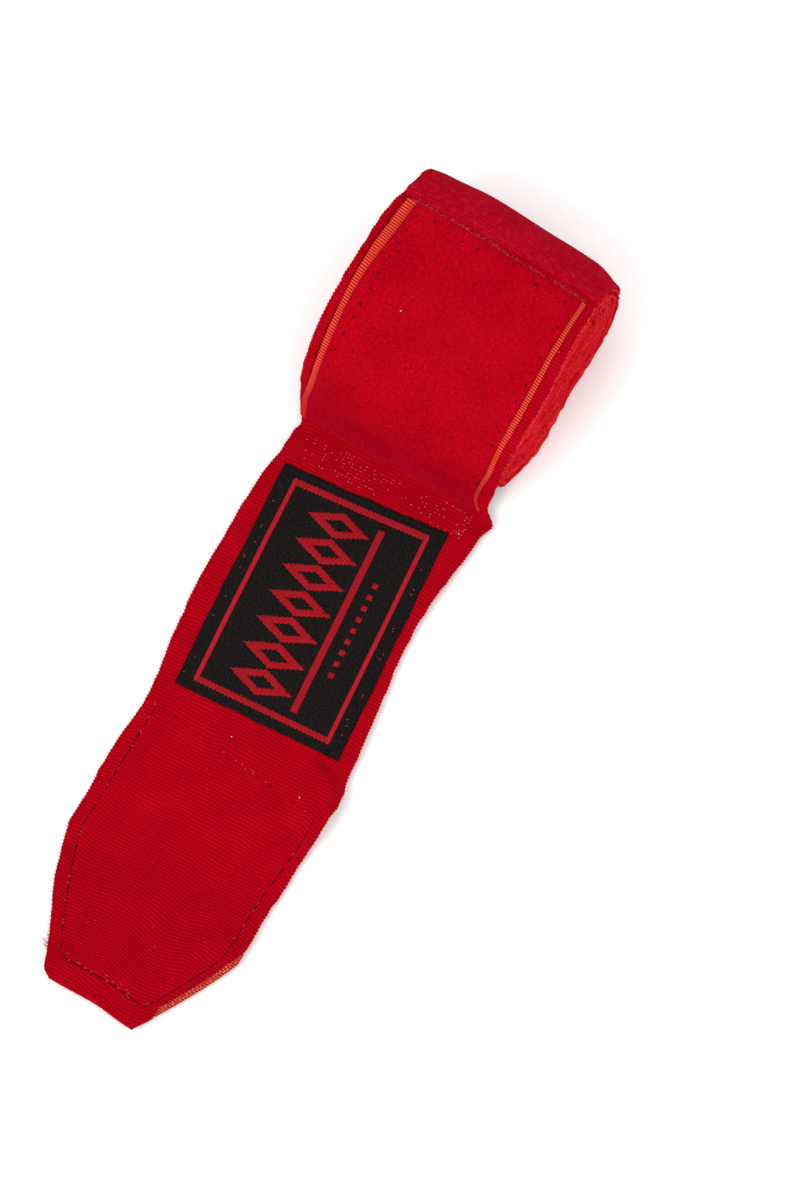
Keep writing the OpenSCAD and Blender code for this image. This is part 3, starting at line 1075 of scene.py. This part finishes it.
def on_label(a, b):
    """s and q of a label point: a runs along the label from its start, b across it."""
    s = LABEL_START + LABEL_SHIFT + a * (1 - LABEL_FAN * b / LABEL_L) + LABEL_SKEW * b
    middle = 0.2 - 4.8 * (s - LABEL_START) / LABEL_L - centre_y(s)
    return s, middle + b * (1.02 + 0.015 * a / LABEL_L) - 0.35 - 0.45 * a / LABEL_L


def cut_a(b):
    """Where the label's two lengths meet, at the band's first cut."""
    return (CUT_A - LABEL_SKEW * b) / (1 - LABEL_FAN * b / LABEL_L)


def label_rows(a0, a1, b, step=0.3):
    """Rows of a values for columns b, where a1 or a0 may be the skewed line of the cut."""
    start = np.broadcast_to(cut_a(b) if a0 == "cut" else a0, b.shape)
    end = np.broadcast_to(cut_a(b) if a1 == "cut" else a1, b.shape)
    rows = max(3, int(np.max(np.abs(end - start)) / step) + 1)
    return start + (end - start) * np.linspace(0, 1, rows)[:, None]


def label_lift(a, b):
    """The label's own relief: a folded, thicker border, sewn down along its middle."""
    rim = np.minimum(LABEL_W / 2 - np.abs(b), np.minimum(a, LABEL_L - a))
    border = smooth((3.0 - rim) / 0.5) * 0.13
    rounded = -0.26 * (1 - np.sqrt(np.clip(rim / 0.45, 0, 1)))
    weave = 0.012 * np.sin(2 * np.pi * (a + b) / 0.9) + 0.03 * noise(a / 5, b / 5, 71)
    return border - 0.12 * bump(rim, LABEL_SEAM, 0.35) + rounded + weave


def label_slab(name, a0, a1):
    """One length of the label's ground, its outline a little ragged and frayed."""
    b = np.linspace(-LABEL_W / 2, LABEL_W / 2, 134)
    a = label_rows(a0, a1, b)
    side = np.sign(b)
    ragged = 0.14 * noise(a / 4.0, side * 3, 72) + 0.07 * noise(a / 0.8, side * 5, 74)
    wave = ragged * smooth((np.abs(b) - 18) / 2)
    ends = smooth((2 - a) / 2) - smooth((a - LABEL_L + 2) / 2)
    frayed = ends * (0.16 * noise(b / 4.5, 9.0, 75) + 0.07 * noise(b / 0.8, 7.0, 76))
    s, q = on_label(a - frayed, b + wave * side)
    return slab(name, LABEL, s, q, LABEL_TOP - 0.05 + label_lift(a, b), TOP - 0.04, a, b)


for name, a0, a1, section, node in (("label_patch_a", 0.0, "cut", 2, "label_main"),
                                    ("label_patch_b", "cut", LABEL_L, 3, "label_end")):
    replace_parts(attach(label_slab(name, a0, a1), section), node)
CUT_A * MM


def weave_patch(a0, a1, b0, b1, step=0.3, scallop=0.0):
    """A raised block of red weft between two a and two b limits, as grids."""
    b = np.linspace(b0, b1, max(4, int(abs(b1 - b0) / (0.12 if scallop else 0.3)) + 1))
    a = label_rows(a0, a1, b, step)
    return a + scallop * np.sin(2 * np.pi * b / 0.95), np.broadcast_to(b, a.shape)


def edge_distance(a, b):
    """How far each grid point lies from its grid's four edges."""
    def gap(pa, pb):
        return np.hypot(a - pa, b - pb)
    sides = np.minimum(gap(a[:, :1], b[:, :1]), gap(a[:, -1:], b[:, -1:]))
    if np.hypot(a[0, 0] - a[-1, 0], b[0, 0] - b[-1, 0]) < 0.3:
        return sides
    return np.minimum(sides, np.minimum(gap(a[:1], b[:1]), gap(a[-1:], b[-1:])))


def raised(name, section, material, grids):
    """Joins several blocks of raised weave on the label into one mesh."""
    rings, quads, uvs, count = [], [], [], 0
    for a, b in grids:
        turn = ((a[1, 0] - a[0, 0]) * (b[0, -1] - b[0, 0])
                - (b[1, 0] - b[0, 0]) * (a[0, -1] - a[0, 0]))
        if turn < 0:
            a, b = a[:, ::-1], b[:, ::-1]
        relief = 0.13 * smooth((edge_distance(a, b) + 0.02) / 0.22)
        relief = relief + 0.02 * np.sin(2 * np.pi * (a * 0.8 + b) / 0.75)
        top = LABEL_TOP - 0.02 + relief + 0.03 * noise(a / 5, b / 5, 71)
        ring, faces, uv = slab_grid(*on_label(a, b), top, LABEL_TOP - 0.16, a, b)
        rings.append(ring.reshape(-1, 3))
        uvs.append(uv.reshape(-1, 2))
        quads.append(faces + count)
        count += len(rings[-1])
    attach(new_mesh(name, np.concatenate(rings), np.concatenate(quads), np.concatenate(uvs),
                    material), section)


FRAME_A, FRAME_B = 2.1, LABEL_W / 2 - 3.4
FRAME_W, FRAME_END_W = 1.05, 1.75


def frame_sides(name, section, a0, a1):
    raised(name, section, SATIN, [weave_patch(a0, a1, FRAME_B - FRAME_W, FRAME_B),
                                  weave_patch(a0, a1, -FRAME_B, -FRAME_B + FRAME_W)])


def frame_end(name, section, a0):
    reach = FRAME_B - 0.9
    raised(name, section, TWILL, [weave_patch(a0, a0 + FRAME_END_W, -reach, reach, scallop=0.13)])


frame_sides("label_frame_sides_a", 2, FRAME_A, "cut")
frame_sides("label_frame_sides_b", 3, "cut", LABEL_L - FRAME_A)
frame_end("label_frame_start", 2, FRAME_A)
frame_end("label_frame_end", 3, LABEL_L - FRAME_A - FRAME_END_W)


LOZENGE_START, LOZENGE_STEP, LOZENGE_B = 8.6, 6.85, 2.9
LOZENGE_HALF_A, LOZENGE_HALF_B, LOZENGE_WALL = 3.25, 7.6, 1.75
BAR_START, BAR_END, BAR_LOW, BAR_HIGH = 5.6, 52.8, -7.2, -5.6
DOT_START, DOT_STEP, DOT_SIZE, DOT_B = 17.5, 2.9, 1.3, -11.0


def lozenge(a_mid):
    """A tall hollow lozenge as one closed grid, with stair-stepped sides."""
    half_a, half_b, wall = LOZENGE_HALF_A, LOZENGE_HALF_B, LOZENGE_WALL
    corners = np.array([(half_a, 0), (0, half_b), (-half_a, 0), (0, -half_b), (half_a, 0)], float)
    holes = corners * [(half_a - wall) / half_a, (half_b - 2.4 * wall) / half_b]
    at = np.linspace(0, 4, 97)
    inner, outline = (np.array(along_path(at, range(5), c)).T[:, None] for c in (holes, corners))
    point = inner + (outline - inner) * np.linspace(0, 1, 7)[:, None]
    a, b = point[..., 0], point[..., 1]
    stair = 0.11 * np.sign(np.sin(2 * np.pi * b)) * np.sign(a)
    return a_mid + a + stair * (np.abs(a) > 0.2), LOZENGE_B + b


def dot(a):
    return weave_patch(a, a + DOT_SIZE, DOT_B, DOT_B + DOT_SIZE, 0.25)


lozenges = [lozenge(LOZENGE_START + LOZENGE_STEP * i) for i in range(7)]
dots = [dot(DOT_START + DOT_STEP * i) for i in range(9)]
bar_a, bar_b = (weave_patch(a0, a1, BAR_LOW, BAR_HIGH)
                for a0, a1 in ((BAR_START, "cut"), ("cut", BAR_END)))
raised("label_motif_a", 2, TWILL, lozenges[:6] + [bar_a] + dots)
raised("label_motif_b", 3, TWILL, lozenges[6:] + [bar_b])

SEAM_B = LABEL_W / 2 - LABEL_SEAM
rng = np.random.RandomState(73)
label_seam = [(a, b, -0.09) for b in (SEAM_B, -SEAM_B) for a in np.arange(2.4, LABEL_L - 2, 2.9)]
label_seam += [(a, b, 1.49) for a in (LABEL_SEAM, LABEL_L - LABEL_SEAM)
               for b in np.arange(-17.2, 17.5, 2.9)]
label_spots = [(*on_label(a, b), angle + rng.normal(0, 0.04)) for a, b, angle in label_seam]
for piece in sew("label_stitch", label_spots, LABEL_TOP - 0.03, THREAD_BLACK):
    node = "label_main_stitching" if piece.name.endswith("2") else "label_end_stitching"
    if not piece.name.endswith("1"):
        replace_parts(piece, node)
fleck_spots = []
for i in range(26):
    a = rng.uniform(2, LABEL_L - 2)
    s, q = on_label(a, (SEAM_B + rng.normal(0, 0.25)) * rng.choice([-1, 1]))
    fleck_spots.append((s, q, rng.uniform(0, 3)))
sew("label_fleck", fleck_spots, LABEL_TOP + 0.03, THREAD_LIGHT)

# ---------------------------------------------------------------- the hook tape and its seam

TAPE_START = 75.5
TAPE_OVER = 0.8
TAPE_TOP, TAPE_LOW = -TOP - 0.02, -TOP - 0.42
HOOK_STEP_S, HOOK_STEP_Q = 1.15, 1.3
HOOK_LOW_Q = -23.5
CORNER_IN = 1.5


def tape_grid(s0, s1):
    """Grid of the hook tape between two s limits, a little wider than its seam."""
    f = np.linspace(0, 1, 60)
    guess = seam_right(80.0) + f * (seam_left(80.0) - seam_right(80.0))
    start = seam_start(guess) - TAPE_OVER
    start = np.maximum(start, s0) if s0 > TAPE_START else start
    rows = int((s1 - s0) / 0.4) + 2
    s = start + (s1 - start) * np.linspace(0, 1, rows)[:, None]
    right, left = seam_right(s) - TAPE_OVER, seam_left(s) + TAPE_OVER
    return s, right + f * (left - right)


def hook_rows(name, s0, s1):
    """Small nylon hooks that hang from the tape's underside in straight rows."""
    s, q = np.meshgrid(np.arange(s0 + 0.5, s1 - 0.3, HOOK_STEP_S),
                       np.arange(HOOK_LOW_Q, 22.5, HOOK_STEP_Q))
    odd = np.round((q - HOOK_LOW_Q) / HOOK_STEP_Q) % 2 > 0
    s = s + np.where(odd, 0.5, 0.0)
    inside = ((q > seam_right(s) + 0.6) & (q < seam_left(s) - 0.6) & (s > seam_start(q) + 0.8)
              & (s < SEAM_END - 0.6) & (s < s1 - 0.2))
    s, q, odd = s[inside][:, None], q[inside][:, None], odd[inside][:, None]
    t = np.linspace(0, 1, 7)
    out = np.where(odd, 1.0, -1.0) * 0.27 * (1 - np.cos(np.pi * 1.35 * t)) * t
    drop = 0.5 * np.sin(np.pi * 0.62 * t ** 0.9)
    p, n = with_normal(bed, s + out, q + 0 * t)
    centre = p + n * (TAPE_LOW + 0.05 - drop)[:, None]
    side, up = tube_frame(centre, n)
    return tubes(name, centre, side, up, 0.075, HOOKS, sides=4)


for i, a, b in sections(TAPE_START, SEAM_END + TAPE_OVER):
    s, q = tape_grid(a, b)
    ripple = 0.03 * np.sin(2 * np.pi * q / 0.9)
    tape = attach(slab("hook_tape_back_%d" % i, TAPE_BACK, s, q, TAPE_TOP, TAPE_LOW + ripple), i)
    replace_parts(tape, "hook_tape_%d" % i)
    if i > 4:
        width, length = float(np.mean(q[:, -1] - q[:, 0])), float(np.mean(s[-1] - s[0]))
    attach(hook_rows("hook_rows_%d" % i, a, b), i)


def tape_corner():
    """The corner of the hook tape that shows past the band's trimmed edge."""
    s = np.linspace(117.6, 140.6, 98)[:, None]
    f = np.linspace(0, 1, 16)
    inner, edge = seam_right(s) - CORNER_IN, edge_base(s, -1)
    low = inner + (edge + 0.1 - inner) * smooth((s - 117.2) / 1.2) - 0.15
    q = low + f * (inner + 0.9 - low)
    ripple = 0.04 * np.sin(2 * np.pi * (q - edge) / 0.85)
    return slab("hook_tape_corner", TAPE_FACE, s, q, -0.10 + ripple - 0.25 * f, -0.5)


attach(tape_corner(), 6)
rng = np.random.RandomState(75)
dot_spots = []
for i in range(5):
    for s in np.arange(119.2, 140.2, 0.8):
        q = edge_base(s, -1) + 0.5 + 0.85 * i
        if q < seam_right(s) - CORNER_IN - 0.3 and rng.uniform() < 0.92:
            dot_spots.append((s + 0.4 * (i % 2), q, 0.4))
sew("hook_tape_dot", dot_spots, -0.12, FUZZ_PALE)


def seam_points():
    """The tongue's outline as a chain of points (s, q), from its -Y start round to its start."""
    s_right = np.linspace(seam_start(-23.1), SEAM_END, 60)
    s_left = np.linspace(SEAM_END, seam_start(21.2), 60)
    right = np.stack([s_right, seam_right(s_right)], 1)
    left = np.stack([s_left, seam_left(s_left)], 1)
    return np.concatenate([right, left, right[:1]])


chain = seam_points()
chain_run = lengths(chain)
seam_spots, start_spots = [], []
for at in np.arange(1.0, chain_run[-1] - 1, 3.35):
    (s0, s1), (q0, q1) = along_path([at - 1.4, at + 1.4], chain_run, chain)
    s, q = (s0 + s1) / 2, (q0 + q1) / 2
    spots = start_spots if abs(s - seam_start(q)) < 0.5 else seam_spots
    spots.append((s, q, np.arctan2(q1 - q0, s1 - s0)))
sew("hook_seam_start", start_spots, TOP - 0.16, THREAD)
for piece in sew("hook_stitch", seam_spots, TOP - 0.17, THREAD):
    i = int(piece.name[-1])
    if i >= 4:
        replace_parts(piece, "hook_stitching_%d" % i)
pale_spots = []
for i in range(30):
    s, q = along_path(rng.uniform(0, chain_run[-1]), chain_run, chain)
    pale_spots.append((s + rng.normal(0, 0.2), q + rng.normal(0, 0.2), rng.uniform(0, 3)))
pale_spots += [(140.2 - rng.uniform(0, 1.8), rng.uniform(-9, 10), rng.uniform(0.6, 2.4))
               for i in range(14)]
sew("hook_seam_knot", pale_spots, TOP - 0.02, THREAD_LIGHT)

# ---------------------------------------------------------------- the hem at the tip

HEM_L = 4.6
HEM_R = 0.3


def hem_piece():
    """The band's end turned under: it runs back below the tip and round the fold."""
    fold_s = TAIL_L - 0.1
    turn = np.linspace(0, np.pi, 9)[1:]
    cs = np.concatenate([np.linspace(TAIL_L - HEM_L, fold_s, 24), fold_s + HEM_R * np.sin(turn)])
    ch = np.concatenate([np.full(24, -2 * HEM_R), -HEM_R - HEM_R * np.cos(turn)])
    ds, dh = np.gradient(cs), np.gradient(ch)
    size = np.hypot(ds, dh)
    f = np.linspace(0, 1, 50)[None, :]
    skins = []
    for grow in (BAND_T / 2 * 0.95, -BAND_T / 2 * 0.95):
        s = (cs + dh / size * grow)[:, None]
        h = (ch - ds / size * grow + 0.02 * np.sin(2 * np.pi * cs / RIB))[:, None]
        edge_s = np.minimum(s, TAIL_L)
        left, right = edge_q(edge_s, 1) - 0.15, edge_q(edge_s, -1) + 0.1
        skins.append(lifted(bed, s, right + f * (left - right), h))
    ring = np.concatenate([skins[0][:, ::-1], skins[1]], 1)
    run = np.concatenate([[0], np.cumsum(size[1:])])[:, None]
    uv = cloth_uv(run, np.concatenate([f[:, ::-1], f], 1) * 24)
    return new_mesh("tip_hem_fold", ring, tube_quads(*ring.shape[:2]), uv, BAND)


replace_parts(attach(hem_piece(), 6), "tip_hem")

# ---------------------------------------------------------------- loose fibres


def edge_fuzz(name, s, side, seed):
    """Fine fibres along one edge of the band, split by section."""
    rng = np.random.RandomState(seed)
    for i, a, b in sections(-BEYOND, BEYOND):
        here = s[(s >= a) & (s < b)]
        if len(here) < 2:
            continue
        q = edge_q(here, side) - side * 0.05
        roots = lifted(bed, here, q, rng.uniform(-0.25, 0.25, len(here)))
        away = np.stack([rng.normal(0, 0.7, len(here)), np.full(len(here), side * 1.0),
                         rng.normal(0.1, 0.4, len(here))], 1)
        attach(fibres("%s_%d" % (name, i), roots, away, 0.42, 0.03, FUZZ_PALE, seed + i), i)


rng = np.random.RandomState(81)
for side, name in ((1, "edge_fuzz_left"), (-1, "edge_fuzz_right")):
    s = np.sort(rng.uniform(lap.low + 1, TAIL_L - 0.5, 1300))
    edge_fuzz(name, s, side, 82 + side)

s = rng.uniform(spiral.s[0] + 200, spiral.s[-1] - 2, 3600)
side = np.where(rng.uniform(0, 1, len(s)) < 0.5, 1.0, -1.0)
roots = spiral_bed(s, side * (BAND_W / 2 - 0.15))
roots = roots + rng.normal(0, 0.12, roots.shape)
away = np.stack([rng.normal(0, 0.9, len(s)), side, rng.normal(0, 0.9, len(s))], 1)
attach(fibres("wound_edge_fuzz", roots, away, 0.6, 0.035, FUZZ, 84), 0)

s = rng.uniform(lap.low + 1.5, -3.0, 5200)
q = rng.uniform(PILE_RIGHT + 0.2, PILE_LEFT - 0.2, len(s))
base, up = with_normal(bed, s, q)
away = up + rng.normal(0, 0.8, up.shape)
attach(fibres("loop_pile_fuzz", base + up * (TOP + 0.72), away, 0.5, 0.03, PILE, 85, 0.8), 0)


def cut_end_fibres(s, q, out_x, stand, rise, spread):
    """Roots and directions of fibres at a cut end of the patch, which point out along X."""
    base, up = with_normal(bed, s, q)
    away = up * rng.uniform(*stand, (len(q), 1)) + np.array([out_x, 0, 0])
    roots = base + up * (TOP + rng.uniform(*rise, (len(q), 1)))
    return roots, away + rng.normal(0, spread, away.shape)


q = np.sort(rng.uniform(PILE_RIGHT - 0.6, PILE_LEFT + 0.6, 420))
roots, away = cut_end_fibres(patch_start(q) + 0.1, q, 1.0, (0.1, 1.0), (0.1, 0.7), 0.4)
attach(fibres("loop_patch_fray", roots, away, 0.6, 0.032, FUZZ_ROSE, 86), 0)

q = np.sort(rng.uniform(PILE_RIGHT - 0.4, PILE_LEFT + 1.4, 260))
s = PATCH_END - 0.2 - 1.5 * rng.uniform(0, 1, len(q)) ** 2
roots, away = cut_end_fibres(s, q, -1.0, (0.0, 0.6), (0.0, 0.15), 0.5)
attach(fibres("loop_patch_end_fuzz", roots, away, 0.9, 0.028, FUZZ, 87), 1)

s = 138.8 + rng.normal(0, 0.7, 14)
away = np.stack([rng.normal(-0.2, 0.5, 14), np.full(14, 1.0), rng.normal(0.0, 0.2, 14)], 1)
attach(fibres("tip_fray", bed(s, edge_q(s, 1) - 0.2), away, 2.3, 0.07, THREAD_LIGHT, 88, 0.25), 6)

# Painted highlights: pale pink dots in rows on the rib crests just past the crease, for glints off
# the elastic threads.
glint_spots = []
for row in np.arange(3.4, 9.6, RIB):
    for column in np.arange(-21, 22, 0.95):
        s = row + rng.normal(0, 0.05) + 0.4 * np.sin(column / 9)
        q = column + rng.normal(0, 0.12)
        if rng.uniform() < 0.26 + 0.18 * np.sin(column / 5):
            glint_spots.append((s, q, 1.4))
sew("band_glint", glint_spots, TOP + 0.04, PAINTED_GLINT)
sew("lint", [(-35.6, 11.6, 0.8)], TOP + 0.88, LINT)
tail_lint = [(64.8, -16.0, 1), (75.5, 3.0, 0.4), (80.5, -17.5, 2), (8.3, -20.5, 0.5)]
sew("lint_tail", tail_lint, TOP + 0.08, LINT)

# ---------------------------------------------------------------- stage, light and camera

TARGET = np.array([-59.6, -18.5, 0.0])
AZIMUTH, ELEVATION, DISTANCE_MM, PX_PER_MM = 300.0, 70.0, 2500.0, 4.45
PHOTO_PX = 1200
FLOOR_HALF = 3.0


def place_in_scene(name, data):
    thing = bpy.data.objects.new(name, data)
    bpy.context.scene.collection.objects.link(thing)
    return thing


def add_stage():
    h = FLOOR_HALF
    mesh = bpy.data.meshes.new("floor")
    mesh.from_pydata([(-h, -h, 0), (h, -h, 0), (h, h, 0), (-h, h, 0)], [], [(0, 1, 2, 3)])
    floor = place_in_scene("floor", mesh)
    floor.location.z = -0.00005
    material = bpy.data.materials.new("floor_white")
    material.use_nodes = True
    shader = material.node_tree.nodes["Principled BSDF"]
    shader.inputs["Base Color"].default_value = (0.97, 0.97, 0.97, 1)
    shader.inputs["Roughness"].default_value = 0.9
    shader.inputs["Specular IOR Level"].default_value = 0.1
    mesh.materials.append(material)


def add_light(name, location, size, energy):
    data = bpy.data.lights.new(name, "AREA")
    data.shape = "DISK"
    data.size = size
    data.energy = energy
    lamp = place_in_scene(name, data)
    lamp.location = location
    direction = Vector((-0.06, -0.01, 0.01)) - Vector(location)
    lamp.rotation_euler = direction.to_track_quat("-Z", "Y").to_euler()


def add_world(strength):
    world = bpy.data.worlds.new("studio")
    world.use_nodes = True
    background = world.node_tree.nodes["Background"].inputs
    background[0].default_value = (1, 1, 1, 1)
    background[1].default_value = strength
    bpy.context.scene.world = world


def add_camera():
    a, e = np.radians(AZIMUTH), np.radians(ELEVATION)
    back = np.array([np.sin(a) * np.cos(e), -np.cos(a) * np.cos(e), np.sin(e)])
    right = np.array([np.cos(a), np.sin(a), 0.0])
    data = bpy.data.cameras.new("camera")
    data.sensor_fit = "VERTICAL"
    data.sensor_height = 36.0
    data.lens = PX_PER_MM * DISTANCE_MM / PHOTO_PX * data.sensor_height
    data.clip_end = 10
    camera = place_in_scene("camera", data)
    rows = np.stack([right, np.cross(back, right), back, (TARGET + DISTANCE_MM * back) * MM], 1)
    camera.matrix_world = Matrix((*rows.tolist(), (0, 0, 0, 1)))
    bpy.context.scene.camera = camera


add_stage()
add_world(1.07)
add_light("key", (-0.75, 0.25, 0.75), 0.6, 4.4)
add_light("fill", (-0.2, -0.7, 0.6), 0.6, 1.6)
add_camera()
bpy.context.scene.view_settings.view_transform = "Standard"
